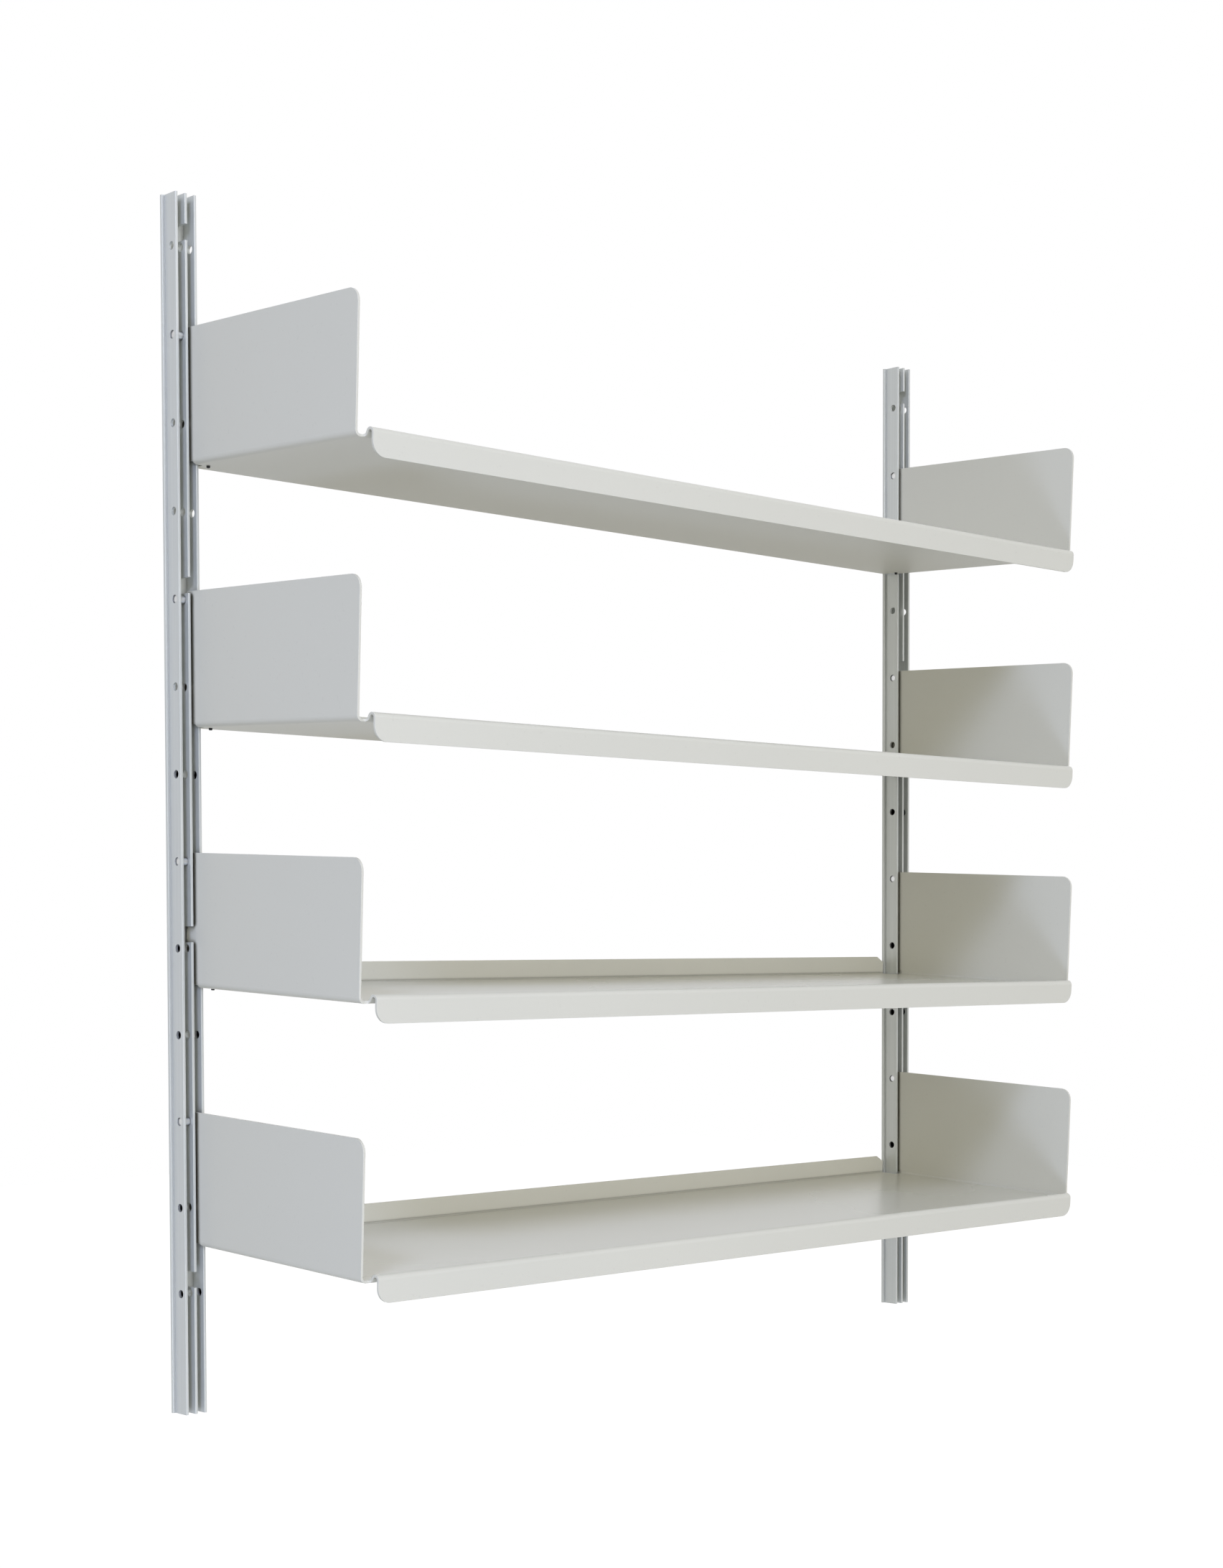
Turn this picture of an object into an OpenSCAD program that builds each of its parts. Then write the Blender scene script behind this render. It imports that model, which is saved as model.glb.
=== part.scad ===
/* [Bay] */
// Distance between the centre lines of the two wall tracks
bay_w = 912; // [300:1:1200]
// Angle by which each shelf leans forward on its pins, down to its stop
lean = 2.5; // [0:0.1:2.5]
// Number of free pin holes above the top shelf
free_hole_count = 1; // [0:1:3]
// Number of pin holes from one shelf down to the next
shelf_hole_count = 3; // [2:1:3]

/* [Wall track] */
// Length of a track
track_len = 1008; // [960:1:1400]
// Distance from the top end of a track to its first pin hole
top_margin = 43; // [22:0.5:60]
// Distance between pin holes
hole_pitch = 72; // [70:1:76]
// Number of pin holes in a track
hole_count = 13; // [13:1:13]
// Thickness of a fin of the track
fin_t = 2.4; // [1.8:0.1:3.4]
// Depth of a fin, from the face of the web to its front edge
fin_depth = 16.1; // [15.5:0.1:18]
// Width of the slot between two fins
slot_w = 6.6; // [6:0.1:9]
// Thickness of the web that lies on the wall
web_t = 2.6; // [1.8:0.1:4]
// How far the web stands out past the outer fins
web_ledge = 2.5; // [1:0.1:4]
// Radius on the front edges of the fins and on the edges of the web
track_edge_r = 0.4; // [0.2:0.05:0.8]
// Diameter of the pin holes
hole_d = 7; // [5:0.1:8]
// Distance from the front edges of the fins back to the pin holes
hole_setback = 6.7; // [6:0.1:7.5]

/* [Wall screws] */
// Number of pin holes from one screw hole to the next
screw_every = 4; // [3:1:4]
// Height of a screw hole above its pin hole
screw_rise = 11.7; // [11:0.1:14]
// Diameter of the screw holes in the web
screw_d = 5; // [3:0.1:6]
// Diameter of the clearing in the middle fin for the head of the screw
head_d = 13.4; // [8:0.1:14]

/* [Shelf sheet] */
// Thickness of the sheet
sheet_t = 2; // [1.2:0.1:2.4]
// Inner radius of the bend from the plate to a cheek
cheek_bend_r = 3; // [1:0.1:5]
// Depth of the plate below the pin holes, to its top face
plate_drop = 102.5; // [80:0.5:102.5]

/* [Shelf cheeks] */
// Height of a cheek above the pin holes
cheek_rise = 7.6; // [6:0.1:8]
// Distance from the pin holes forward to the front edge of a cheek
cheek_front = 232; // [150:1:300]
// Distance from the pin holes back to the rear edge of a cheek
cheek_back = 4.5; // [4:0.1:4.5]
// Radius of the upper front corner of a cheek
cheek_corner_r = 11; // [2:0.5:25]
// Radius of the upper rear corner of a cheek
cheek_heel_r = 3; // [1:0.5:4]

/* [Shelf front lip] */
// Distance from the front edge of a cheek forward to the face of the lip
lip_reach = 11; // [10:0.1:18]
// Height of the lip, from the top of its rim to its lower edge
lip_h = 22.4; // [16:0.1:40]
// Height of the rim above the plate
rim_rise = 5.4; // [4.5:0.1:9]
// Angle at which the sheet climbs from the plate to the rim
rim_angle = 60; // [45:1:65]
// Inner radius of the rim's bends
rim_bend_r = 2.5; // [1.5:0.1:2.6]
// How far the lip ends short of the outer face of a cheek
lip_inset = 8.7; // [8:0.1:20]
// Radius of the lower corners of the lip
lip_corner_r = 12; // [2:0.5:14]
// Radius of the corner between the front edge of the plate and the rim
relief_r = 2.5; // [1:0.1:2.5]

/* [Shelf rear edge] */
// Height of the rear flange above the plate
flange_h = 18; // [8:0.5:30]
// Distance from the pin holes back to the front face of the rear flange
flange_back = 5.25; // [3:0.05:5.3]
// Inner radius of the bend from the plate to the flange
flange_bend_r = 1; // [1:0.1:3]
// Width of the slanted cut on an upper corner of the flange
flange_cut_w = 10; // [2:0.5:20]
// Height of the slanted cut on an upper corner of the flange
flange_cut_h = 6; // [2:0.5:7]
// Gap between the end of the rear flange and the nearest fin
flange_gap = 3.8; // [3.5:0.1:12]
// Gap between the plate, where it is cut back, and the front of the fins
notch_gap = 5.1; // [5.1:0.1:12]

/* [Pins] */
// Play of a pin in its hole, on the diameter
pin_play = 0.15; // [0.02:0.01:0.3]
// How far an end of a pin lies below the face of the outer fin
pin_sink = 1.2; // [0:0.1:1.5]
// Width of the bevel on the ends of a pin
pin_bevel = 0.4; // [0.1:0.1:1]

/* [Buffers] */
// Diameter of a buffer under the plate
buffer_d = 3; // [2:0.1:6]
// Height of a buffer
buffer_h = 2; // [1:0.1:4]
// Radius on the lower edge of a buffer
buffer_edge_r = 0.6; // [0.2:0.1:0.9]
// Distance from a side of the plate's rear tongue to the centre of a buffer
buffer_side = 3.2; // [3:0.1:10]
// Distance from the cut-back edge of the plate to the centre of a buffer
buffer_front = 3.2; // [3:0.1:10]

/* [Hidden] */

// Facets of the round shapes
$fn = 48;
// How far a cutting shape runs past the piece that it cuts
past = 1;

// The frame: X runs along the wall, the wall is the plane Y = 0, the front is -Y, and the
// origin is the centre of the pattern of wall screws
left = -1;
right = 1;

// Places on a track, seen from its own centre line
fin_pitch = fin_t + slot_w;
track_w = 3 * fin_t + 2 * slot_w;
fin_front = -(web_t + fin_depth);
pin_y = fin_front + hole_setback;
screw_rows = floor((hole_count - 1) / screw_every) + 1;
screw_step = screw_every * hole_pitch;
hole_0_z = (screw_rows - 1) * screw_step / 2 - screw_rise;
track_top = hole_0_z + top_margin;

// Places on a shelf, seen from its pin axis
cheek_mid = bay_w / 2 - fin_pitch / 2;
cheek_out = cheek_mid + sheet_t / 2;
cheek_in = cheek_mid - sheet_t / 2;
plate_top = -plate_drop;
plate_low = plate_top - sheet_t;
notch_y = -(hole_setback + notch_gap);
tongue_half = bay_w / 2 - track_w / 2 - flange_gap;
lip_half = cheek_out - lip_inset;
lip_y = -(cheek_front + lip_reach);
rim_top = plate_top + rim_rise;
lip_low = rim_top - lip_h;
rim_out_r = rim_bend_r + sheet_t;
flange_y = flange_back + sheet_t;

// The rim climbs by two equal bends with a straight web between them
rim_bends_h = (rim_bend_r + rim_out_r) * (1 - cos(rim_angle));
rim_web = (rim_rise - rim_bends_h) / sin(rim_angle);
rim_bends_w = (rim_bend_r + rim_out_r) * sin(rim_angle);
rim_foot_y = lip_y + rim_out_r + rim_bends_w + rim_web * cos(rim_angle);

// Places on a pin
pin_d = hole_d - pin_play;
pin_len = track_w - 2 * pin_sink;

function hole_z(i) = hole_0_z - i * hole_pitch;
function shelf_hole(n) = free_hole_count + (n - 1) * shelf_hole_count;

// Lays a drawing of (across, up) on the wall's plane and draws it out towards the front
module drawn_forward(y_back, y_front) {
  translate([0, y_back, 0]) rotate([90, 0, 0]) linear_extrude(y_back - y_front) children();
}

// Stands a drawing of (back, up) on its side and draws it out along the wall, both ways alike
module drawn_sideways(half) {
  translate([-half, 0, 0]) rotate([90, 0, 90]) linear_extrude(2 * half) children();
}

// A round bar along the wall, from x0 to x1
module cross_bar(x0, x1, d) {
  translate([x0, 0, 0]) rotate([0, 90, 0]) cylinder(d = d, h = x1 - x0);
}

// Drawing of a bar that stands on the X axis, with its two upper edges rounded
module rounded_bar(w, h, r) {
  translate([-w / 2, 0]) square([w, h - r]);
  translate([-w / 2 + r, 0]) square([w - 2 * r, h]);
  for (side = [left, right]) translate([side * (w / 2 - r), h - r]) circle(r);
}

// Drawing of the track's section: a web on the wall and three fins
module track_section() {
  mirror([0, 1]) {
    rounded_bar(track_w + 2 * web_ledge, web_t, track_edge_r);
    for (k = [-1, 0, 1]) translate([k * fin_pitch, 0]) rounded_bar(fin_t, web_t + fin_depth, track_edge_r);
  }
}

// A wall track, with a pin hole at each pitch and a clearing and a hole for each wall screw
module track(side) {
  color([0.74, 0.75, 0.76])
  translate([side * bay_w / 2, 0, 0])
  difference() {
    translate([0, 0, track_top - track_len]) linear_extrude(track_len) track_section();
    for (i = [0 : hole_count - 1]) {
      translate([0, pin_y, hole_z(i)]) cross_bar(-track_w / 2 - past, track_w / 2 + past, hole_d);
    }
    for (i = [0 : screw_every : hole_count - 1]) translate([0, 0, hole_z(i) + screw_rise]) {
      translate([0, past, 0]) rotate([90, 0, 0]) cylinder(d = screw_d, h = web_t + 2 * past);
      translate([0, -web_t, 0]) rotate([90, 0, 0]) cylinder(d = head_d, h = fin_depth + past);
    }
  }
}

// Drawing of an open tray, with the two lower corners rounded
module tray_outline(half, low, high, r) {
  translate([-half, low + r]) square([2 * half, high - low - r]);
  translate([-half + r, low]) square([2 * (half - r), high - low]);
  for (side = [left, right]) translate([side * (half - r), low + r]) circle(r);
}

// Drawing of the plate with a cheek at each end, folded up from one sheet
module plate_and_cheeks() {
  difference() {
    tray_outline(cheek_out, plate_low, cheek_rise, cheek_bend_r + sheet_t);
    tray_outline(cheek_in, plate_top, cheek_rise + past, cheek_bend_r);
  }
}

// Drawing of a bend: a part of a ring from angle a0 to angle a1, less than half a turn
module bend(r_in, a0, a1) {
  reach = 2 * (r_in + sheet_t);
  mid = (a0 + a1) / 2;
  difference() {
    intersection() {
      circle(r_in + sheet_t);
      polygon([[0, 0], reach * [cos(a0), sin(a0)], reach * [cos(mid), sin(mid)], reach * [cos(a1), sin(a1)]]);
    }
    circle(r_in);
  }
}

// Drawing of the front of the sheet: plate, climb, rim and lip, with the front towards -X
module front_fold(plate_back) {
  foot_mid = [rim_foot_y, plate_top + rim_bend_r];
  crest_mid = [lip_y + rim_out_r, rim_top - rim_out_r];
  climb = [-cos(rim_angle), sin(rim_angle)];
  climb_start = foot_mid + (rim_bend_r + sheet_t) * [-sin(rim_angle), -cos(rim_angle)];
  translate([rim_foot_y, plate_low]) square([plate_back - rim_foot_y, sheet_t]);
  translate(foot_mid) bend(rim_bend_r, 270 - rim_angle, 270);
  polygon([
    climb_start,
    climb_start + rim_web * climb,
    climb_start + rim_web * climb + sheet_t * [sin(rim_angle), cos(rim_angle)],
    climb_start + sheet_t * [sin(rim_angle), cos(rim_angle)]
  ]);
  translate(crest_mid) bend(rim_bend_r, 90 - rim_angle, 180);
  translate([lip_y, lip_low]) square([sheet_t, crest_mid[1] - lip_low]);
}

// Drawing of the rear of the sheet: plate and upturned flange, with the back towards +X
module rear_fold(plate_front) {
  mid = [flange_back - flange_bend_r, plate_top + flange_bend_r];
  translate([plate_front, plate_low]) square([mid[0] - plate_front, sheet_t]);
  translate(mid) bend(flange_bend_r, 270, 360);
  translate([flange_back, mid[1]]) square([sheet_t, plate_top + flange_h - mid[1]]);
}

// Cuts that round the corners of both cheeks
module cheek_corner_cuts() {
  for (c = [[-cheek_front, cheek_corner_r, 1], [cheek_back, cheek_heel_r, -1]]) {
    translate([0, c[0], cheek_rise]) drawn_sideways(cheek_out + past) difference() {
      translate([-past, -c[1]]) mirror([c[2] < 0 ? 1 : 0, 0]) translate([c[2] < 0 ? -past : 0, 0])
        square([c[1] + past, c[1] + past]);
      translate([c[2] * c[1], -c[1]]) circle(c[1]);
    }
  }
}

// Cuts that round the lower corners of the lip
module lip_corner_cuts() {
  for (side = [left, right]) {
    drawn_forward(lip_y + sheet_t + past, lip_y - past)
      translate([side * lip_half, lip_low]) mirror([side > 0 ? 1 : 0, 0]) difference() {
        translate([-past, -past]) square(lip_corner_r + past);
        translate([lip_corner_r, lip_corner_r]) circle(lip_corner_r);
      }
  }
}

// Cuts that slant the upper corners of the rear flange
module flange_corner_cuts() {
  top = plate_top + flange_h;
  for (side = [left, right]) {
    drawn_forward(flange_y + past, flange_back - past)
      translate([side * tongue_half, top]) mirror([side > 0 ? 1 : 0, 0])
        polygon([[-past, -flange_cut_h], [0, -flange_cut_h], [flange_cut_w, 0], [flange_cut_w, past], [-past, past]]);
  }
}

// The small round in the corner between the front edge of the plate and the end of the rim
module relief_fillets() {
  for (side = [left, right]) {
    translate([side * lip_half, -cheek_front, plate_low]) mirror([side < 0 ? 1 : 0, 0, 0]) linear_extrude(sheet_t)
      difference() {
        translate([0, -relief_r]) square(relief_r);
        translate([relief_r, -relief_r]) circle(relief_r);
      }
  }
}

// One folded shelf, about its pin axis
module shelf_sheet() {
  difference() {
    drawn_forward(cheek_back, -cheek_front) plate_and_cheeks();
    // The plate gives way to the front fold between the ends of the lip
    translate([-lip_half, -cheek_front - past, plate_low - past])
      cube([2 * lip_half, cheek_front + past + rim_foot_y, sheet_t + 2 * past]);
    // The cheeks alone run on into the slots of the tracks
    translate([-cheek_in, notch_y, plate_low - past])
      cube([2 * cheek_in, cheek_back - notch_y + past, cheek_rise - plate_low + 2 * past]);
    cheek_corner_cuts();
    cross_bar(-cheek_out - past, cheek_out + past, hole_d);
  }
  difference() {
    drawn_sideways(lip_half) front_fold(rim_foot_y + sheet_t);
    lip_corner_cuts();
  }
  difference() {
    drawn_sideways(tongue_half) rear_fold(notch_y - sheet_t);
    flange_corner_cuts();
  }
  relief_fillets();
}

// Sets a piece that is modelled about a pin axis on shelf n
module on_shelf(n) {
  translate([0, pin_y, hole_z(shelf_hole(n))]) rotate([lean, 0, 0]) children();
}

module shelf(n) {
  color([0.80, 0.81, 0.81]) on_shelf(n) shelf_sheet();
}

// A cross pin with bevelled ends, through the three fins and the cheek in the slot
module pin(side, n) {
  r = pin_d / 2;
  color([0.86, 0.86, 0.85])
  translate([side * bay_w / 2, pin_y, hole_z(shelf_hole(n))])
  rotate([0, 90, 0])
  translate([0, 0, -pin_len / 2])
  rotate_extrude()
    polygon([
      [0, 0], [r - pin_bevel, 0], [r, pin_bevel],
      [r, pin_len - pin_bevel], [r - pin_bevel, pin_len], [0, pin_len]
    ]);
}

// A small soft buffer under a rear corner of the plate
module buffer(side, n) {
  r = buffer_d / 2;
  color([0.18, 0.18, 0.19])
  on_shelf(n)
  translate([side * (tongue_half - buffer_side), notch_y - buffer_front, plate_low])
  mirror([0, 0, 1])
  rotate_extrude() {
    square([r, buffer_h - buffer_edge_r]);
    square([r - buffer_edge_r, buffer_h]);
    translate([r - buffer_edge_r, buffer_h - buffer_edge_r]) intersection() {
      circle(buffer_edge_r);
      square(buffer_edge_r);
    }
  }
}

track(left);  // track_left
track(right);  // track_right
for (n = [1 : 4]) {
  shelf(n);
  pin(left, n);
  pin(right, n);
  buffer(left, n);
  buffer(right, n);
}
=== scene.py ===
# %% [markdown]
# # Wall-mounted shelving, dressed for the camera
# Four shelves of folded sheet metal hang between two slotted aluminium tracks. The CAD model gives
# the sizes, the bodies and the joints. This script builds the pieces again with rounded edges and
# real finishes, and hangs each one on its CAD body, so that it moves when the model moves.

import math

import bmesh
import bpy
from mathutils import Matrix, Vector


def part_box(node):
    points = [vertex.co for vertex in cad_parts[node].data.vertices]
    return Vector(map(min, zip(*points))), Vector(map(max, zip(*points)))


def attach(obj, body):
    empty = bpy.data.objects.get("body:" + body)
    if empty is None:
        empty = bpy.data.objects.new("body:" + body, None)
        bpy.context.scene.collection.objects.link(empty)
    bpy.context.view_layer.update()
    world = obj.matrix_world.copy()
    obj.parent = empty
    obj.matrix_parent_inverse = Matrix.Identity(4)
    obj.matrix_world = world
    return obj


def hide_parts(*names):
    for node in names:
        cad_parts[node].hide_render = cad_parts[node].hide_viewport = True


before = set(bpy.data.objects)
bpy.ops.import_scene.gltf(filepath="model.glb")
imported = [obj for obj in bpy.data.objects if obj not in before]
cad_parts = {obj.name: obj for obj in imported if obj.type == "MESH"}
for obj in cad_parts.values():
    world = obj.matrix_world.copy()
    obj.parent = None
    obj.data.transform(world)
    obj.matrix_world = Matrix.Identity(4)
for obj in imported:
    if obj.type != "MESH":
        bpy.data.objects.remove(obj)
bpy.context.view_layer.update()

# %% [markdown]
# ## Sizes
# The CAD model is measured in metres, but sheet metal is drawn in millimetres. So the drawings below
# use millimetres, and one factor brings them to metres when a mesh is made. The places of the tracks,
# pins and shelves come from the boxes of their CAD nodes, so that nothing is placed by eye.

# %% Sizes taken from the frame
MM = 0.001
SHELVES = (1, 2, 3, 4)
SIDES = {"left": -1, "right": 1}


def node_middle(node):
    """The middle of a CAD node's box, in metres."""
    low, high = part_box(node)
    return (low + high) / 2


pin_places = {(side, n): node_middle(f"pin_{side}_{n}") for side in SIDES for n in SHELVES}
pin_y = pin_places["left", 1].y
track_x = {side: node_middle(f"track_{side}").x for side in SIDES}
track_low, track_high = (corner.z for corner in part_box("track_left"))
print("pin axis y:", round(pin_y, 4), "tracks at x:", {k: round(v, 4) for k, v in track_x.items()})

# %% [markdown]
# ## From a mesh to a finished piece
# Every edge of a real piece is a little round: that thin line of light along an edge is what makes a
# render believable. On the sheet the Bevel modifier breaks the sharp edges, by no more than its
# smallest corners allow. The tracks have many drilled edges, so they keep crisp edges in the mesh. On
# both, a Bevel node in the finish turns the light softly over the edges. The Weighted Normal modifier
# keeps the large faces flat.

# %% Helpers that make an object
SHARP = math.radians(50)  # edges that turn by more than this are sharp
LARGE_FACES_LEAD = 80  # how far large faces come before small ones in the shading


def add_object(name, mesh, material):
    """A new object for a mesh, with one material."""
    obj = bpy.data.objects.new(name, mesh)
    bpy.context.scene.collection.objects.link(obj)
    if material is not None:
        mesh.materials.clear()
        mesh.materials.append(material)
    return obj


def mesh_from(bm, name):
    """Turns a finished bmesh into a mesh that shades smoothly."""
    bmesh.ops.recalc_face_normals(bm, faces=bm.faces)
    for face in bm.faces:
        face.smooth = True
    mesh = bpy.data.meshes.new(name)
    bm.to_mesh(mesh)
    bm.free()
    return mesh


def keep_flat(obj, keep_sharp=False, weight=50):
    """Lets the large faces lead the shading, so that flat faces look flat."""
    flat = obj.modifiers.new("flat faces stay flat", "WEIGHTED_NORMAL")
    flat.keep_sharp = keep_sharp
    flat.weight = weight


def round_edges(obj, width_mm, segments):
    """Rounds the sharp edges of an object."""
    bevel = obj.modifiers.new("rounded edges", "BEVEL")
    bevel.width = width_mm * MM
    bevel.segments = segments
    bevel.limit_method = "ANGLE"
    bevel.angle_limit = SHARP
    bevel.harden_normals = False


# %% [markdown]
# ## Node materials
# All finishes are made of nodes. These two helpers wire a node and set its inputs in one line, so that
# each material below reads like a recipe. Values that are the same all over a surface are set straight
# on the shader, because a linked value may be lost when the model is exported.

# %% A short way to wire nodes
BEVEL_RAYS, OPENNESS_RAYS = 6, 8
FULLY_TURNED = 0.88  # cosine between the true and the softened normal at a bare edge
APART = 7.0  # metres by which the pattern can move on from one piece to the next


class Wires:
    """A node tree, and a short way to add nodes to it."""

    def __init__(self, tree):
        self.tree = tree

    def node(self, kind, links=(), **settings):
        """Adds a node. links maps an input to a socket or to a fixed value."""
        made = self.tree.nodes.new(kind)
        for key, value in settings.items():
            setattr(made, key, value)
        for key, value in dict(links).items():
            self.feed(made.inputs[key], value)
        return made

    def feed(self, socket, value):
        if isinstance(value, bpy.types.NodeSocket):
            self.tree.links.new(value, socket)
        else:
            socket.default_value = value

    def noise(self, vector, scale, detail, roughness):
        made = self.node("ShaderNodeTexNoise", {
            "Vector": vector, "Scale": scale, "Detail": detail, "Roughness": roughness})
        return made.outputs[0]

    def stretched(self, vector, scale):
        """The same coordinates, scaled unevenly, for streaks."""
        made = self.node("ShaderNodeMapping", {"Vector": vector, "Scale": scale})
        return made.outputs[0]

    def ranged(self, value, from_low, from_high, to_low, to_high):
        made = self.node("ShaderNodeMapRange", {
            "Value": value, "From Min": from_low, "From Max": from_high,
            "To Min": to_low, "To Max": to_high})
        return made.outputs[0]

    def math(self, operation, a, b=0.0):
        made = self.node("ShaderNodeMath", {0: a, 1: b}, operation=operation)
        return made.outputs[0]

    def length(self, vector):
        made = self.node("ShaderNodeVectorMath", {0: vector}, operation="LENGTH")
        return made.outputs["Value"]

    def share(self, value, low, high, most=1.0):
        """0 where the value is at or below low, rising to the most where it reaches high."""
        return self.ranged(value, low, high, 0.0, most)

    def mixed(self, share, a, b):
        """Colour a where share is 0, colour b where it is 1."""
        made = self.node("ShaderNodeMix", {0: share, 6: a, 7: b}, data_type="RGBA")
        return made.outputs[2]

    def any_ray(self, *kinds):
        """1 for rays of the kinds named, 0 for all others."""
        ray = self.node("ShaderNodeLightPath")
        found = ray.outputs[kinds[0]]
        for kind in kinds[1:]:
            found = self.math("MAXIMUM", found, ray.outputs[kind])
        return found


class Recipe(Wires):
    """A material with a Principled shader, and what the finishes below are mixed from."""

    def __init__(self, name):
        self.material = bpy.data.materials.new(name)
        self.material.use_nodes = True
        super().__init__(self.material.node_tree)
        self.shader = self.tree.nodes["Principled BSDF"]
        self.output = self.tree.nodes["Material Output"]

    def paint(self, name, value):
        """Feeds one input of the shader."""
        self.feed(self.shader.inputs[name], value)

    def bump(self, height, strength, distance_mm, under=None):
        links = {"Height": height, "Strength": strength, "Distance": distance_mm * MM}
        if under is not None:
            links["Normal"] = under
        return self.node("ShaderNodeBump", links).outputs[0]

    def rounded(self, radius_mm):
        """Normals that turn softly over a sharp edge, as if it had that radius."""
        made = self.node("ShaderNodeBevel", {"Radius": radius_mm * MM}, samples=BEVEL_RAYS)
        return made.outputs[0]

    def edge_mask(self, width_mm):
        """0 on flat faces, rising to 1 on the edges."""
        soft = self.rounded(width_mm)
        true = self.node("ShaderNodeNewGeometry").outputs["Normal"]
        agree = self.node("ShaderNodeVectorMath", {0: soft, 1: true}, operation="DOT_PRODUCT")
        return self.share(agree.outputs["Value"], 1.0, FULLY_TURNED)

    def openness(self, reach_mm):
        """1 on open faces, lower in holes and sharp folds; the finishes darken their colour there as
        painted shade.
        """
        reach = {"Distance": reach_mm * MM}
        made = self.node("ShaderNodeAmbientOcclusion", reach, samples=OPENNESS_RAYS)
        return made.outputs["AO"]

    def place(self):
        """Coordinates fixed to the piece, moved on for each object, so that no two look the same."""
        here = self.node("ShaderNodeTexCoord").outputs["Object"]
        dice = self.node("ShaderNodeObjectInfo").outputs["Random"]
        step = self.math("MULTIPLY", dice, APART)
        return self.node("ShaderNodeVectorMath", {0: here, 1: step}, operation="ADD").outputs[0]


# %% [markdown]
# ## The enamel of the shelves
# The shelves are sprayed with a slightly warm off-white enamel and baked. Such a coat isn't perfectly
# flat: it has a fine orange-peel skin about a millimetre across, very gentle waves from the sheet under
# it and a touch of dust, and its colour is made a little lighter along the edges. Upper faces
# are wiped often, so they are glossier than the undersides. In the sharp folds the colour is darkened
# to a dark line: painted shade, where little light gets in.

# %% Enamel
ENAMEL_DULL, ENAMEL_FRESH = (0.742, 0.731, 0.645, 1), (0.762, 0.750, 0.662, 1)
# the fold colour on the next line is painted shade; the last colour makes the edges lighter
DUST, FOLD_SHADE, EDGE_LIGHTER_TONE = (0.56, 0.545, 0.48, 1), (0.15, 0.14, 0.10, 1), (0.84, 0.83, 0.76, 1)
UNDERSIDE_ROUGH, WIPED_ROUGH, UNEVEN = 0.50, 0.28, 0.015

enamel = Recipe("enamel_off_white")
spot = enamel.place()
peel = enamel.noise(spot, scale=750.0, detail=2.0, roughness=0.45)
wave = enamel.noise(spot, scale=5.0, detail=0.0, roughness=0.4)
cloud = enamel.noise(spot, scale=4.0, detail=2.0, roughness=0.4)
speck = enamel.noise(spot, scale=420.0, detail=1.0, roughness=0.3)
tone = enamel.mixed(enamel.share(cloud, 0.3, 0.7), ENAMEL_DULL, ENAMEL_FRESH)
tone = enamel.mixed(enamel.share(speck, 0.70, 0.80, 0.15), tone, DUST)
# painted shade: the colour turns dark in the sharp folds, where little light gets in
tone = enamel.mixed(enamel.ranged(enamel.openness(5.0), 0.58, 0.78, 1.0, 0.0), tone, FOLD_SHADE)
# the colour is made lighter along the edges
edge_lightening = enamel.math("MULTIPLY", enamel.edge_mask(0.8), 0.5)
enamel.paint("Base Color", enamel.mixed(edge_lightening, tone, EDGE_LIGHTER_TONE))
facing = enamel.node("ShaderNodeTexCoord").outputs["Normal"]
upward = enamel.node("ShaderNodeSeparateXYZ", {0: facing}).outputs["Z"]
wiped = enamel.ranged(upward, -0.6, 0.8, UNDERSIDE_ROUGH, WIPED_ROUGH)
uneven = enamel.ranged(cloud, 0.3, 0.7, -UNEVEN, UNEVEN)
enamel.paint("Roughness", enamel.math("ADD", wiped, uneven))
skin = enamel.bump(peel, 0.20, 0.03, under=enamel.rounded(0.35))
enamel.paint("Normal", enamel.bump(wave, 0.02, 2.0, under=skin))
enamel.paint("Specular IOR Level", 0.3)
enamel.paint("Metallic", 0.0)
print("enamel nodes:", len(enamel.tree.nodes))

# %% [markdown]
# ## The aluminium of the tracks
# A track is pressed through a die, so its skin carries fine lines that run the whole length, and the
# anodising leaves it satin. The lines are a noise that is squeezed across the track and drawn out
# along it: fine ones in the colour and as a very shallow bump, broad ones in the colour alone. The
# oxide layer is dull, so the finish stands between metal and paint. The slots and the holes are
# darkened in the colour: painted shade.

# %% Satin aluminium
FINE_LINES, BROAD_LINES = (2200.0, 2200.0, 6.0), (500.0, 500.0, 2.0)
LINE_DARK, LINE_LIGHT = (0.635, 0.65, 0.62, 1), (0.705, 0.72, 0.685, 1)
# the slot colour on the next line is painted shade, for the slots and holes
BROAD_DARK, SLOT_SHADE, RUBBED = (0.59, 0.605, 0.58, 1), (0.11, 0.115, 0.12, 1), (0.78, 0.78, 0.78, 1)

aluminium = Recipe("aluminium_satin")
spot = aluminium.place()
lines = aluminium.noise(aluminium.stretched(spot, FINE_LINES), scale=1.0, detail=3.0, roughness=0.6)
broad = aluminium.noise(aluminium.stretched(spot, BROAD_LINES), scale=1.0, detail=2.0, roughness=0.5)
handled = aluminium.noise(spot, scale=14.0, detail=4.0, roughness=0.6)
shade = aluminium.mixed(aluminium.share(lines, 0.3, 0.7), LINE_DARK, LINE_LIGHT)
shade = aluminium.mixed(aluminium.share(broad, 0.35, 0.7, 0.35), shade, BROAD_DARK)
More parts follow.
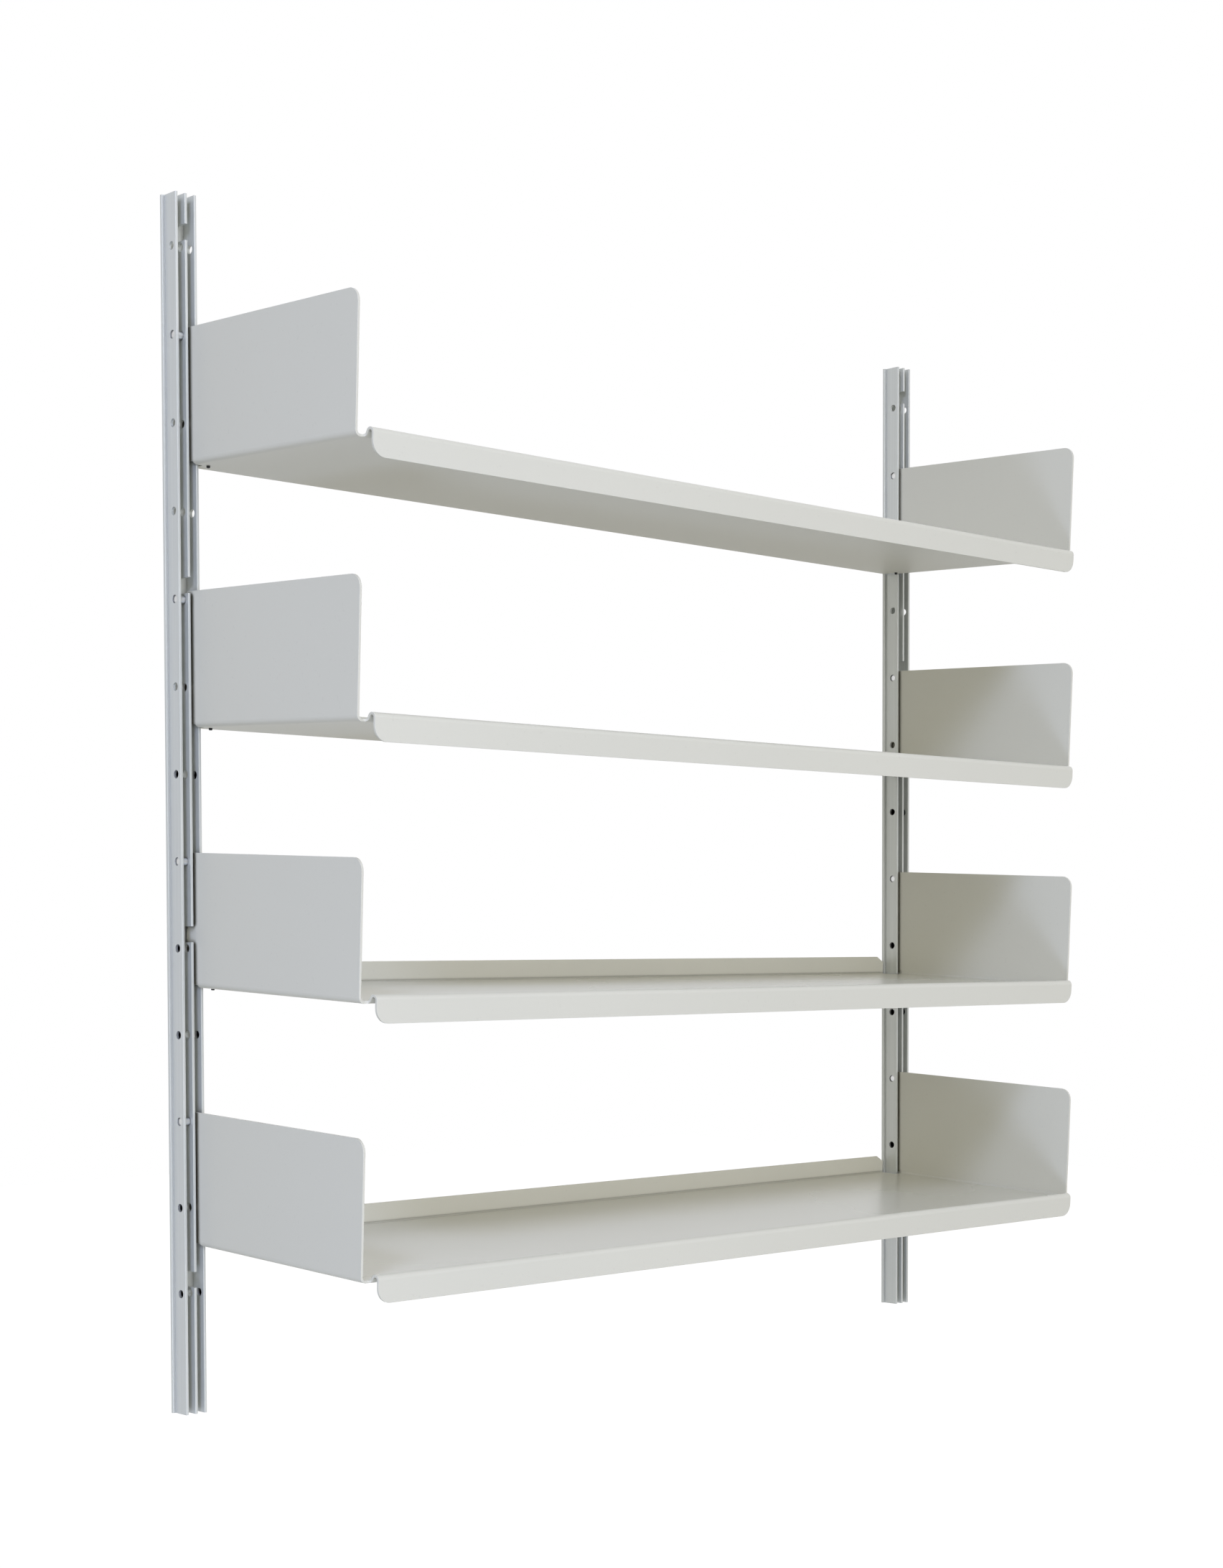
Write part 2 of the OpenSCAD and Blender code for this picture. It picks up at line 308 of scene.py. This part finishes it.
# painted shade: the colour turns dark in the slots and holes, where little light gets in
recess_shade = aluminium.ranged(aluminium.openness(5.0), 0.15, 0.80, 0.80, 0.0)
shade = aluminium.mixed(recess_shade, shade, SLOT_SHADE)
rubbed = aluminium.math("MULTIPLY", aluminium.edge_mask(0.5), 0.5)
aluminium.paint("Base Color", aluminium.mixed(rubbed, shade, RUBBED))
aluminium.paint("Roughness", aluminium.ranged(handled, 0.3, 0.7, 0.38, 0.50))
aluminium.paint("Normal", aluminium.bump(lines, 0.25, 0.02, under=aluminium.rounded(0.25)))
aluminium.paint("Metallic", 0.30)
print("aluminium nodes:", len(aluminium.tree.nodes))

# %% [markdown]
# ## Pins and buffers
# The pins are turned from bright bar, which leaves rings on their ends. The rings come from the
# distance to the pin's own axis. The ends lie a little below the faces of the fins, and in that small
# recess their colour is darkened: painted shade. The buffers are soft dark rubber with a dull, slightly
# dusty skin.

# %% Turned metal
ACROSS = (1.0, 1.0, 0.0)
RING_RADIANS_PER_METRE = 26000.0
# the last colour on the next line is painted shade, for the recessed pin ends
BAR_DARK, BAR_LIGHT, BAR_RECESS_SHADE = (0.68, 0.68, 0.675, 1), (0.80, 0.80, 0.795, 1), (0.06, 0.06, 0.065, 1)

turned = Recipe("turned_bright_metal")
here = turned.node("ShaderNodeTexCoord").outputs["Object"]
off_axis = turned.node("ShaderNodeVectorMath", {0: here, 1: ACROSS}, operation="MULTIPLY").outputs[0]
rings = turned.math("SINE", turned.math("MULTIPLY", turned.length(off_axis), RING_RADIANS_PER_METRE))
grain = turned.noise(here, scale=3000.0, detail=2.0, roughness=0.5)
shine = turned.mixed(turned.share(grain, 0.3, 0.7), BAR_DARK, BAR_LIGHT)
# painted shade: the colour turns dark in the recess at each end, where little light gets in
recess_shade = turned.ranged(turned.openness(4.0), 0.35, 0.85, 0.85, 0.0)
turned.paint("Base Color", turned.mixed(recess_shade, shine, BAR_RECESS_SHADE))
turned.paint("Roughness", turned.ranged(grain, 0.3, 0.7, 0.28, 0.40))
turned.paint("Normal", turned.bump(rings, 0.2, 0.01))
turned.paint("Metallic", 1.0)
print("turned nodes:", len(turned.tree.nodes))

# %% Rubber
RUBBER_CLEAN, RUBBER_DUSTY = (0.018, 0.018, 0.020, 1), (0.045, 0.044, 0.042, 1)

rubber = Recipe("rubber_dark")
dull = rubber.noise(rubber.place(), scale=1800.0, detail=3.0, roughness=0.6)
rubber.paint("Base Color", rubber.mixed(rubber.share(dull, 0.35, 0.7), RUBBER_CLEAN, RUBBER_DUSTY))
rubber.paint("Roughness", rubber.ranged(dull, 0.3, 0.7, 0.62, 0.8))
rubber.paint("Normal", rubber.bump(dull, 0.3, 0.05))
print("rubber nodes:", len(rubber.tree.nodes))

# %% [markdown]
# ## The tracks
# A track is one profile, drawn out along its length: a web that lies on the wall, and three fins with
# two slots between them. The outline is drawn once, with its small radii, and pushed up as a prism.
# The holes are then cut with a Boolean, as they would be drilled: the pin holes go through all three
# fins, and a round cutter clears the middle fin in front of each wall screw.

# %% Outline of the track's section
FIN_T, SLOT_W, FIN_DEPTH = 2.4, 6.6, 16.1
WEB_T, WEB_LEDGE = 2.6, 2.5
TRACK_EDGE_R, TRACK_EDGE_STEPS = 0.4, 4
FIN_PITCH = FIN_T + SLOT_W
TRACK_W = 3 * FIN_T + 2 * SLOT_W


def corner(cx, cy, r, a0, a1, steps):
    """Points on an arc round (cx, cy), from angle a0 to a1 in degrees, both ends included."""
    turn = [math.radians(a0 + (a1 - a0) * i / steps) for i in range(steps + 1)]
    return [(cx + r * math.cos(a), cy + r * math.sin(a)) for a in turn]


def track_outline():
    """Outline as (across, out from the wall), walked from the wall's left end over the fins."""
    half_web, tip = TRACK_W / 2 + WEB_LEDGE, WEB_T + FIN_DEPTH
    r, steps = TRACK_EDGE_R, TRACK_EDGE_STEPS
    points = [(half_web, 0.0)]
    points += corner(half_web - r, WEB_T - r, r, 0, 90, steps)
    for k in (1, 0, -1):
        right, left = k * FIN_PITCH + FIN_T / 2, k * FIN_PITCH - FIN_T / 2
        points.append((right, WEB_T))
        points += corner(right - r, tip - r, r, 0, 90, steps)
        points += corner(left + r, tip - r, r, 90, 180, steps)
        points.append((left, WEB_T))
    points += corner(-half_web + r, WEB_T - r, r, 90, 180, steps)
    points.append((-half_web, 0.0))
    return points


def prism(outline, low, high, name):
    """A solid with that outline, from z low to z high in metres. Out from the wall is -Y."""
    bm = bmesh.new()
    ring = [bm.verts.new((x * MM, -y * MM, low)) for x, y in outline]
    foot = bm.faces.new(ring)
    made = bmesh.ops.extrude_face_region(bm, geom=[foot], use_keep_orig=True)["geom"]
    top = [v for v in made if isinstance(v, bmesh.types.BMVert)]
    bmesh.ops.translate(bm, vec=(0, 0, high - low), verts=top)
    return mesh_from(bm, name)


print("track outline points:", len(track_outline()))

# %% Cutters for the holes
HOLE_D, HOLE_SIDES, HOLE_PITCH, HOLES = 7.0, 32, 72.0, 13
SCREW_EVERY, SCREW_RISE, SCREW_D, HEAD_D, HEAD_SIDES = 4, 11.7, 5.0, 13.4, 48
TOP_MARGIN, SIDE_SPARE, FRONT_SPARE = 43.0, 6.0, 4.0
SAME_POINT, SAME_PLANE = 0.05, math.radians(0.5)
hole_z = [track_high - (TOP_MARGIN + HOLE_PITCH * i) * MM for i in range(HOLES)]


def add_drill(bm, middle, axis, diameter_mm, length_mm, sides=HOLE_SIDES):
    """Adds a round bar to bm, for cutting a hole. axis is 'X' or 'Y'."""
    turn = Matrix.Rotation(math.pi / 2, 4, "Y" if axis == "X" else "X")
    r = diameter_mm / 2 * MM
    bmesh.ops.create_cone(bm, cap_ends=True, segments=sides, radius1=r, radius2=r,
                          depth=length_mm * MM, matrix=Matrix.Translation(middle) @ turn)


def merged(bm, same_point_mm):
    """Joins points that all but touch, and merges flat neighbours into large faces."""
    bmesh.ops.remove_doubles(bm, verts=bm.verts, dist=same_point_mm * MM)
    bmesh.ops.dissolve_limit(bm, angle_limit=SAME_PLANE, verts=bm.verts, edges=bm.edges)


def cut(mesh, cutter, name):
    """The mesh with the cutter taken away, as a new mesh with its sharp edges marked."""
    body = add_object("blank", mesh, None)
    tool = add_object("tool", cutter, None)
    boolean = body.modifiers.new("drilled", "BOOLEAN")
    boolean.operation, boolean.solver, boolean.object = "DIFFERENCE", "EXACT", tool
    boolean.use_self = True  # some of the drills cross each other
    graph = bpy.context.evaluated_depsgraph_get()
    shaped = bpy.data.meshes.new_from_object(body.evaluated_get(graph))
    for spent in (body, tool):
        bpy.data.objects.remove(spent)
    bm = bmesh.new()
    bm.from_mesh(shaped)
    bpy.data.meshes.remove(shaped)
    merged(bm, SAME_POINT)
    for edge in bm.edges:
        edge.smooth = edge.calc_face_angle(0.0) < SHARP
    return mesh_from(bm, name)


drills = bmesh.new()
for i, z in enumerate(hole_z):
    add_drill(drills, (0, pin_y, z), "X", HOLE_D, TRACK_W + SIDE_SPARE)
    if i % SCREW_EVERY == 0:
        screw_z = z + SCREW_RISE * MM
        clear_depth = FIN_DEPTH + FRONT_SPARE
        clear_y = -(WEB_T + clear_depth / 2) * MM
        add_drill(drills, (0, 0, screw_z), "Y", SCREW_D, 2 * WEB_T + FRONT_SPARE)
        add_drill(drills, (0, clear_y, screw_z), "Y", HEAD_D, clear_depth, HEAD_SIDES)
print("faces of the drills:", len(drills.faces))

# %% Cut and hang the tracks
bar = prism(track_outline(), track_low, track_high, "track_bar")
track_mesh = cut(bar, mesh_from(drills, "drills"), "track")
for side in SIDES:
    mesh = track_mesh if side == "left" else track_mesh.copy()
    track = add_object(f"wall_track_{side}", mesh, aluminium.material)
    track.location.x = track_x[side]
    keep_flat(track, keep_sharp=True, weight=LARGE_FACES_LEAD)
    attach(track, "wall_tracks")
    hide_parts(f"track_{side}")
print("track faces:", len(track_mesh.polygons))

# %% [markdown]
# ## The shelves
# A shelf is one sheet, 2 mm thick. It is made here in the order of the workshop. First the flat blank
# is cut, with rounded corners, a hole in each cheek and notches at the rear. Then the blank is folded:
# a cheek up at each end, a rim and a lip at the front, a flange at the rear. Folding is a rule that
# says where each point of the flat blank ends up, so the bends come out with true radii. Last, the
# sheet gets its thickness.

# %% Sizes of the sheet
SHEET_T = 2.0
CHEEK_OUT, CHEEK_BEND_R = 452.5, 3.0
PLATE_TOP, CHEEK_RISE, CHEEK_FRONT, CHEEK_BACK = -102.5, 7.6, 232.0, 4.5
CHEEK_CORNER_R, CHEEK_HEEL_R = 11.0, 3.0
LIP_Y, LIP_HALF, LIP_H, LIP_CORNER_R = -243.0, 443.8, 22.4, 12.0
RIM_RISE, RIM_ANGLE, RIM_BEND_R, RELIEF_R = 5.4, 60.0, 2.5, 2.5
TONGUE_HALF, FLANGE_BACK, FLANGE_H, FLANGE_BEND_R = 442.0, 5.25, 18.0, 1.0
FLANGE_CUT_W, FLANGE_CUT_H = 10.0, 6.0
NOTCH_Y, NOTCH_R, TAIL_TURN = -11.8, 1.2, 60.0
HALF_T = SHEET_T / 2
MID_Z = PLATE_TOP - HALF_T
print("sheet:", SHEET_T, "mm thick,", 2 * CHEEK_OUT, "mm across its cheeks")

# %% [markdown]
# ### Folding lines
# Each fold is a path in the side view: straight runs and arcs, measured along the middle of the sheet.
# `walk` follows such a path for a given length and says where it has got to.


# %% A walk along a fold
def walk(steps, start, heading, length):
    """Follows runs and arcs from start for a length. A step is (length, bend) with bend in degrees."""
    y, z = start
    for run, bend in steps:
        part = min(max(length, 0.0), run)
        if bend and run:
            r = run / math.radians(abs(bend))
            turn = math.radians(bend) * part / run
            side = 1 if bend > 0 else -1
            y += side * r * (math.sin(heading + turn) - math.sin(heading))
            z -= side * r * (math.cos(heading + turn) - math.cos(heading))
            heading += turn
        else:
            y += part * math.cos(heading)
            z += part * math.sin(heading)
        length -= part
        if length <= 0:
            break
    return y, z


def arc_length(inner_r, degrees):
    return (inner_r + HALF_T) * math.radians(degrees)


def total(steps):
    return sum(run for run, bend in steps)


# %% Paths of the folds
rim_slope = math.radians(RIM_ANGLE)
rim_bends_h = (2 * RIM_BEND_R + SHEET_T) * (1 - math.cos(rim_slope))
rim_web = (RIM_RISE - rim_bends_h) / math.sin(rim_slope)
rim_bends_w = (2 * RIM_BEND_R + SHEET_T) * math.sin(rim_slope)
FOOT_Y = LIP_Y + RIM_BEND_R + SHEET_T + rim_bends_w + rim_web * math.cos(rim_slope)
lip_run = LIP_H - RIM_BEND_R - SHEET_T
front_steps = [(arc_length(RIM_BEND_R, RIM_ANGLE), -RIM_ANGLE), (rim_web, 0),
               (arc_length(RIM_BEND_R, 90 + RIM_ANGLE), 90 + RIM_ANGLE), (lip_run, 0)]
REAR_Y = FLANGE_BACK - FLANGE_BEND_R
rear_steps = [(arc_length(FLANGE_BEND_R, 90), 90), (FLANGE_H - FLANGE_BEND_R, 0)]
SIDE_X = CHEEK_OUT - CHEEK_BEND_R - SHEET_T
cheek_steps = [(arc_length(CHEEK_BEND_R, 90), 90), (CHEEK_RISE - PLATE_TOP - CHEEK_BEND_R, 0)]
print("front fold:", round(total(front_steps), 2), "mm, rear:", round(total(rear_steps), 2), "mm")


def fold(u, v):
    """Where the point (u, v) of the flat blank lies once the sheet is folded, in millimetres."""
    if abs(u) > SIDE_X:
        x, z = walk(cheek_steps, (SIDE_X, MID_Z), 0.0, abs(u) - SIDE_X)
        return math.copysign(x, u), v, z
    if v < FOOT_Y:
        y, z = walk(front_steps, (FOOT_Y, MID_Z), math.pi, FOOT_Y - v)
        return u, y, z
    if v > REAR_Y:
        y, z = walk(rear_steps, (REAR_Y, MID_Z), 0.0, v - REAR_Y)
        return u, y, z
    return u, v, MID_Z


# %% [markdown]
# ### The blank
# One half of the outline is walked from the middle of the lip to the middle of the flange, and the
# other half is its mirror image.

# %% Outline of the blank
CHEEK_TOP = SIDE_X + total(cheek_steps)
LIP_END = FOOT_Y - total(front_steps)
FLANGE_END = REAR_Y + total(rear_steps)
TAIL_U = SIDE_X + arc_length(CHEEK_BEND_R, TAIL_TURN)
PIN_U = SIDE_X + arc_length(CHEEK_BEND_R, 90) + (-PLATE_TOP - CHEEK_BEND_R)


def half_blank():
    """The right half of the outline, from the front round to the rear."""
    front, r = -CHEEK_FRONT, CHEEK_CORNER_R
    points = corner(LIP_HALF - LIP_CORNER_R, LIP_END + LIP_CORNER_R, LIP_CORNER_R, -90, 0, steps=8)
    points += corner(LIP_HALF + RELIEF_R, front - RELIEF_R, RELIEF_R, 180, 90, steps=5)
    points += corner(CHEEK_TOP - r, front + r, r, -90, 0, steps=10)
    r = CHEEK_HEEL_R
    points += corner(CHEEK_TOP - r, CHEEK_BACK - r, r, 0, 90, steps=5)
    points.append((TAIL_U, CHEEK_BACK))
    r = NOTCH_R
    points += corner(TAIL_U - r, NOTCH_Y + r, r, 0, -90, steps=4)
    points += corner(TONGUE_HALF + r, NOTCH_Y + r, r, -90, -180, steps=4)
    points.append((TONGUE_HALF, FLANGE_END - FLANGE_CUT_H))
    points.append((TONGUE_HALF - FLANGE_CUT_W, FLANGE_END))
    return points


def ring_of_edges(bm, points):
    verts = [bm.verts.new((u, v, 0)) for u, v in points]
    return [bm.edges.new((verts[i], verts[(i + 1) % len(verts)])) for i in range(len(verts))]


def flat_blank():
    """The flat blank as triangles, with a hole in each cheek."""
    bm = bmesh.new()
    right = half_blank()
    left = [(-u, v) for u, v in reversed(right)]
    edges = ring_of_edges(bm, right + left)
    for sign in SIDES.values():
        hole = corner(sign * PIN_U, 0, HOLE_D / 2, 0, 360, HOLE_SIDES)
        edges += ring_of_edges(bm, hole[:-1])
    bmesh.ops.triangle_fill(bm, use_beauty=True, use_dissolve=False, edges=edges, normal=(0, 0, 1))
    return bm


print("points of half the blank:", len(half_blank()))

# %% [markdown]
# ### Folding the blank
# Before folding, the blank is scored along every bend with a set of close lines, since a mesh can only
# bend where it has an edge. After folding, the flat parts are merged into large faces again.

# %% Score and fold
DEGREES_PER_LINE, TOUCHING = 9, 1e-4
LEAN = math.radians(2.5)
SAME_POINT_OF_SHEET = 0.12


def score_lines(start, steps, sign):
    """Places of the score lines along one fold: the ends of each bend and close steps between."""
    places, here = [start], start
    for run, bend in steps:
        pieces = max(1, round(abs(bend) / DEGREES_PER_LINE))
        places += [here + sign * run * (i + 1) / pieces for i in range(pieces)]
        here += sign * run
    return places[:-1]


def score(bm, place, normal):
    """Cuts an edge into the blank along the plane with that normal, at that place."""
    point = (place, 0, 0) if normal[0] else (0, place, 0)
    everything = bm.verts[:] + bm.edges[:] + bm.faces[:]
    bmesh.ops.bisect_plane(bm, geom=everything, dist=TOUCHING, plane_co=point, plane_no=normal)


def folded_sheet():
    """The blank after folding, still without thickness."""
    bm = flat_blank()
    for place in score_lines(SIDE_X, cheek_steps, 1):
        score(bm, place, (1, 0, 0))
        score(bm, -place, (1, 0, 0))
    for place in score_lines(FOOT_Y, front_steps, -1) + score_lines(REAR_Y, rear_steps, 1):
        score(bm, place, (0, 1, 0))
    for vert in bm.verts:
        vert.co = Vector(fold(vert.co.x, vert.co.y)) * MM
    merged(bm, SAME_POINT_OF_SHEET)
    return mesh_from(bm, "folded_sheet")


sheet = folded_sheet()
sheet.transform(Matrix.Rotation(LEAN, 4, "X"))
print("folded sheet:", len(sheet.vertices), "points,", len(sheet.polygons), "faces")

# %% Thicken and hang the shelves
for n in SHELVES:
    mesh = sheet if n == 1 else sheet.copy()
    shelf = add_object(f"folded_shelf_{n}", mesh, enamel.material)
    shelf.location = (0, pin_y, pin_places["left", n].z)
    thick = shelf.modifiers.new("sheet thickness", "SOLIDIFY")
    thick.thickness, thick.offset, thick.use_even_offset = SHEET_T * MM, 0.0, True
    round_edges(shelf, 0.35, segments=3)
    keep_flat(shelf, weight=LARGE_FACES_LEAD)
    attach(shelf, f"shelf_{n}_body")
    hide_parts(f"shelf_{n}")
print("shelves hung:", len(SHELVES))

# %% [markdown]
# ## The pins and the buffers
# A pin is turned on a lathe and a buffer is moulded round, so both are made by the same helper: half an
# outline, spun about an axis.


# %% A lathe
def lathe(outline, name, sides=40):
    """Spins (radius, along) points, in millimetres, about the Z axis."""
    bm = bmesh.new()
    verts = [bm.verts.new((r * MM, 0, h * MM)) for r, h in outline]
    edges = [bm.edges.new(pair) for pair in zip(verts, verts[1:])]
    bmesh.ops.spin(bm, geom=verts + edges, cent=(0, 0, 0), axis=(0, 0, 1), dvec=(0, 0, 0),
                   angle=2 * math.pi, steps=sides, use_merge=True)
    bmesh.ops.remove_doubles(bm, verts=bm.verts, dist=1e-6)
    return mesh_from(bm, name)


# %% Pins
PIN_R, PIN_LEN, PIN_BEVEL, CENTRE_R, CENTRE_DEEP = 3.425, 18.0, 0.4, 0.9, 0.5


def pin_outline():
    """From the middle of one end to the middle of the other, with a centre mark in each end."""
    half = PIN_LEN / 2
    end = [(0.0, CENTRE_DEEP), (CENTRE_R, 0.0), (PIN_R - PIN_BEVEL, 0.0)]
    end += [(PIN_R - PIN_BEVEL * (1 - math.sin(a)), PIN_BEVEL * (1 - math.cos(a)))
            for a in (math.radians(d) for d in (30, 60, 90))]
    return [(r, h - half) for r, h in end] + [(r, half - h) for r, h in reversed(end)]


for (side, n), place in pin_places.items():
    mesh = lathe(pin_outline(), f"pin_{side}_{n}_turned")
    pin = add_object(f"cross_pin_{side}_{n}", mesh, turned.material)
    pin.location = place
    pin.rotation_euler = (0, math.pi / 2, 0)
    keep_flat(pin)
    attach(pin, f"pin_{side}_{n}_body")
    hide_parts(f"pin_{side}_{n}")
print("pins:", len(pin_places))

# %% Buffers
BUFFER_R, BUFFER_H, BUFFER_EDGE_R = 1.5, 2.0, 0.6
BUFFER_X, BUFFER_Y = 438.8, -15.0


def buffer_outline():
    """From the plate down to the middle of the rounded end."""
    r = BUFFER_EDGE_R
    end = [(BUFFER_R - r * (1 - math.cos(a)), -(BUFFER_H - r * (1 - math.sin(a))))
           for a in (math.radians(d) for d in (0, 22, 45, 68, 90))]
    return [(0.0, 0.0), (BUFFER_R, 0.0)] + end + [(0.0, -BUFFER_H)]


for side, sign in SIDES.items():
    for n in SHELVES:
        mesh = lathe(buffer_outline(), f"buffer_{side}_{n}_moulded", sides=28)
        stud = add_object(f"soft_buffer_{side}_{n}", mesh, rubber.material)
        below = Vector((sign * BUFFER_X, BUFFER_Y, PLATE_TOP - SHEET_T)) * MM
        below.rotate(Matrix.Rotation(LEAN, 3, "X"))
        stud.location = Vector((0, pin_y, pin_places[side, n].z)) + below
        stud.rotation_euler = (LEAN, 0, 0)
        keep_flat(stud)
        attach(stud, f"shelf_{n}_body")
        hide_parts(f"buffer_{side}_{n}")
print("buffers:", 2 * len(SHELVES))

# %% [markdown]
# ## Floor and background
# The shelving is shown as a cut-out on white, as in a catalogue. The world is white for the camera and
# for reflections, but weaker as a light, so that the pale shelves keep their shading. As a light it
# comes mostly from the room in front, and a touch cool. Little comes back from the wall behind, and
# that little is warm, which makes the rear of each tray darker and warmer than its front.

# %% World
ROOM_LIGHT = (0.658, 0.669, 0.702, 1)
WALL_LIGHT = (0.205, 0.190, 0.122, 1)
WHITE = (1, 1, 1, 1)
world = bpy.data.worlds.new("white_studio")
bpy.context.scene.world = world
world.use_nodes = True
sky = Wires(world.node_tree)
towards = sky.node("ShaderNodeTexCoord").outputs["Generated"]
depth = sky.node("ShaderNodeSeparateXYZ", {0: towards}).outputs["Y"]
light = sky.mixed(sky.share(depth, -0.5, 0.5), ROOM_LIGHT, WALL_LIGHT)
seen = sky.any_ray("Is Camera Ray", "Is Glossy Ray", "Is Transmission Ray")
sky.feed(sky.tree.nodes["Background"].inputs["Color"], sky.mixed(seen, light, WHITE))
print("world nodes:", len(sky.tree.nodes))

# %% Floor
FLOOR_Z, FLOOR_HALF = -2.10, 16.0
PALE_DARK, PALE_LIGHT = (0.70, 0.70, 0.70, 1), (0.74, 0.74, 0.74, 1)
NEAR, FAR, LIFT_NEAR, LIFT_FAR = 2.0, 8.0, 0.62, 0.76
pale = Recipe("floor_pale")
spot = pale.node("ShaderNodeTexCoord").outputs["Object"]
mottle = pale.noise(spot, scale=3.0, detail=3.0, roughness=0.5)
pale.paint("Base Color", pale.mixed(mottle, PALE_DARK, PALE_LIGHT))
pale.paint("Roughness", 0.9)
pale.paint("Specular IOR Level", 0.1)
watched = pale.any_ray("Is Camera Ray", "Is Glossy Ray", "Is Transmission Ray")
lift = pale.ranged(pale.length(spot), NEAR, FAR, LIFT_NEAR, LIFT_FAR)
glow = pale.node("ShaderNodeEmission", {"Strength": pale.math("MULTIPLY", watched, lift)})
both = pale.node("ShaderNodeAddShader", {0: pale.shader.outputs[0], 1: glow.outputs[0]})
pale.feed(pale.output.inputs["Surface"], both.outputs[0])
bm = bmesh.new()
bmesh.ops.create_grid(bm, x_segments=4, y_segments=4, size=FLOOR_HALF)
floor = add_object("studio_floor", mesh_from(bm, "studio_floor"), pale.material)
floor.location.z = FLOOR_Z
print("floor at", FLOOR_Z, "m")

# %% [markdown]
# ## Light
# Three large, soft lamps, as in a small studio. A broad, nearly neutral one in front makes the lips the
# brightest faces. A cool one at the left and above shades the outer cheeks and reaches into the trays.
# A low, cool one at the left shines up under the plates, and each plate throws its soft, slanting
# shadow on the right cheek. Between the shelves the light bounces off the warm enamel, so there it
# looks warmer than on the outer cheeks.


# %% Lamps
def soft_lamp(name, towards, distance, size, watts, tint):
    """A square lamp, seen from the shelving in the direction towards."""
    data = bpy.data.lights.new(name, "AREA")
    data.shape, data.size, data.energy, data.color = "SQUARE", size, watts, tint
    lamp = bpy.data.objects.new(name, data)
    bpy.context.scene.collection.objects.link(lamp)
    way = Vector(towards).normalized()
    lamp.location = way * distance
    lamp.rotation_mode = "QUATERNION"
    lamp.rotation_quaternion = way.to_track_quat("Z", "Y")


soft_lamp("front_soft_lamp", towards=(-0.2, -1.0, 0.1), distance=4.0, size=2.5,
          watts=36.5, tint=(1.02, 1.0, 0.98))
soft_lamp("left_soft_lamp", towards=(-0.9, -0.6, 0.62), distance=3.5, size=0.6,
          watts=22.6, tint=(0.88, 1.0, 1.46))
soft_lamp("low_soft_lamp", towards=(-1.0, -0.6, -0.66), distance=2.6, size=0.5,
          watts=8.0, tint=(0.86, 1.0, 1.42))
print("lamps:", len(bpy.data.lights))

# %% [markdown]
# ## Camera
# The camera stands to the left of the shelving, in front of it, a little below its middle, and looks
# almost level. Its frame is shifted up instead of tilted, which keeps the tracks upright.

# %% Camera
FRAME_H, SENSOR_MM = 2184.0, 36.0
FOCAL_PX, CENTRE_DOWN_PX = 3447.5, 356.7
CAMERA_AT = (-1.6140, -1.7525, -0.1516)
view = Vector((0.68573, 0.72679, -0.03943)).normalized()
right = Vector((0.72728, -0.68633, -0.00247))
right = (right - right.dot(view) * view).normalized()
up = right.cross(view)
data = bpy.data.cameras.new("catalogue_camera")
data.sensor_fit, data.sensor_width = "AUTO", SENSOR_MM
data.lens = FOCAL_PX * SENSOR_MM / FRAME_H
data.shift_y = CENTRE_DOWN_PX / FRAME_H
data.clip_start, data.clip_end = 0.05, 100.0
camera = bpy.data.objects.new("catalogue_camera", data)
bpy.context.scene.collection.objects.link(camera)
turn = Matrix((right, up, -view)).transposed().to_4x4()
camera.matrix_world = Matrix.Translation(CAMERA_AT) @ turn
bpy.context.scene.camera = camera
bpy.context.scene.view_settings.view_transform = "Standard"
print("lens:", round(data.lens, 2), "mm, shift:", round(data.shift_y, 4))

# %% Bring the scene up to date
bpy.context.view_layer.update()
